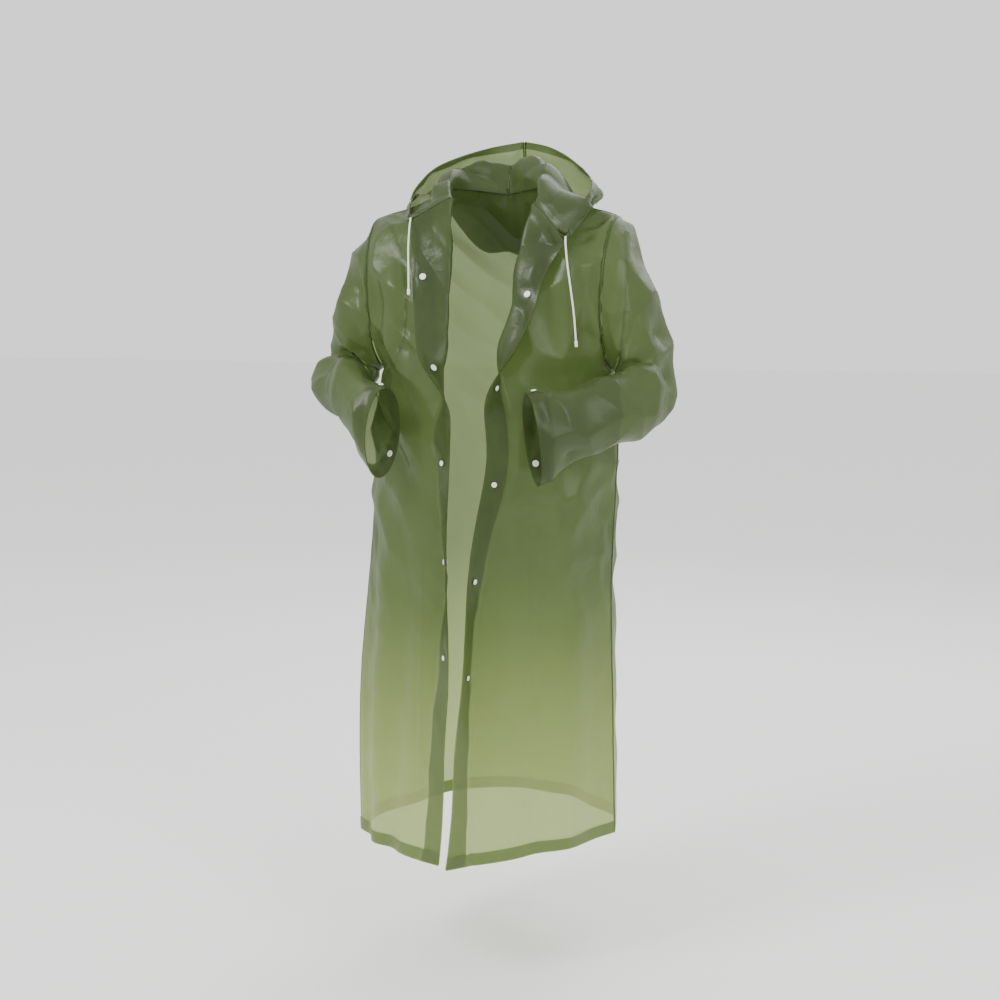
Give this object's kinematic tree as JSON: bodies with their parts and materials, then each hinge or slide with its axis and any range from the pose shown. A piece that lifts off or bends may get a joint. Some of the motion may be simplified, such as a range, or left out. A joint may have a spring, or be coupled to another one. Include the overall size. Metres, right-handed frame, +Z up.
{
  "type": "rain poncho",
  "caption": "Long hooded rain coat of translucent olive film, worn open, with snap plackets, wide sleeves, a hood that lies back and a drawcord.",
  "frame": {"origin": "between the shoulders, level with the shoulder tips, in the middle of the neck opening, where the coat is held up when it is worn", "axes": "+Z up along the coat, the front faces -Y, the wearer's left arm is on +X"},
  "size_m": [0.7018, 0.5488, 1.3614],
  "materials": {
    "film": "thin frosted olive film",
    "band": "the same film in two more layers, welded",
    "snap": "moulded white snap",
    "tip": "moulded white cord tip",
    "cord": "braided white cord"
  },
  "bodies": {
    "root": {"back": "film", "front_left": "film", "hood_left": "film", "sleeve_left": "film", "front_right": "film", "hood_right": "film", "sleeve_right": "film", "placket_left": "band", "hem_left": "band", "cuff_hem_left": "band", "hood_casing_left": "band", "placket_right": "band", "hem_right": "band", "cuff_hem_right": "band", "hood_casing_right": "band", "hem_back": "band", "snap_left_1_cap": "snap", "snap_left_1_socket": "snap", "snap_left_2_cap": "snap", "snap_left_2_socket": "snap", "snap_left_3_cap": "snap", "snap_left_3_socket": "snap", "snap_left_4_cap": "snap", "snap_left_4_socket": "snap", "snap_left_5_cap": "snap", "snap_left_5_socket": "snap", "cuff_snap_left_1_cap": "snap", "cuff_snap_left_1_socket": "snap", "cuff_snap_left_2_cap": "snap", "cuff_snap_left_2_socket": "snap", "snap_right_1_cap": "snap", "snap_right_1_socket": "snap", "snap_right_2_cap": "snap", "snap_right_2_socket": "snap", "snap_right_3_cap": "snap", "snap_right_3_socket": "snap", "snap_right_4_cap": "snap", "snap_right_4_socket": "snap", "snap_right_5_cap": "snap", "snap_right_5_socket": "snap", "cuff_snap_right_1_cap": "snap", "cuff_snap_right_1_socket": "snap", "cuff_snap_right_2_cap": "snap", "cuff_snap_right_2_socket": "snap", "drawcord_left": "cord", "cord_tip_left": "tip", "drawcord_right": "cord", "cord_tip_right": "tip"}
  },
  "joints": []
}
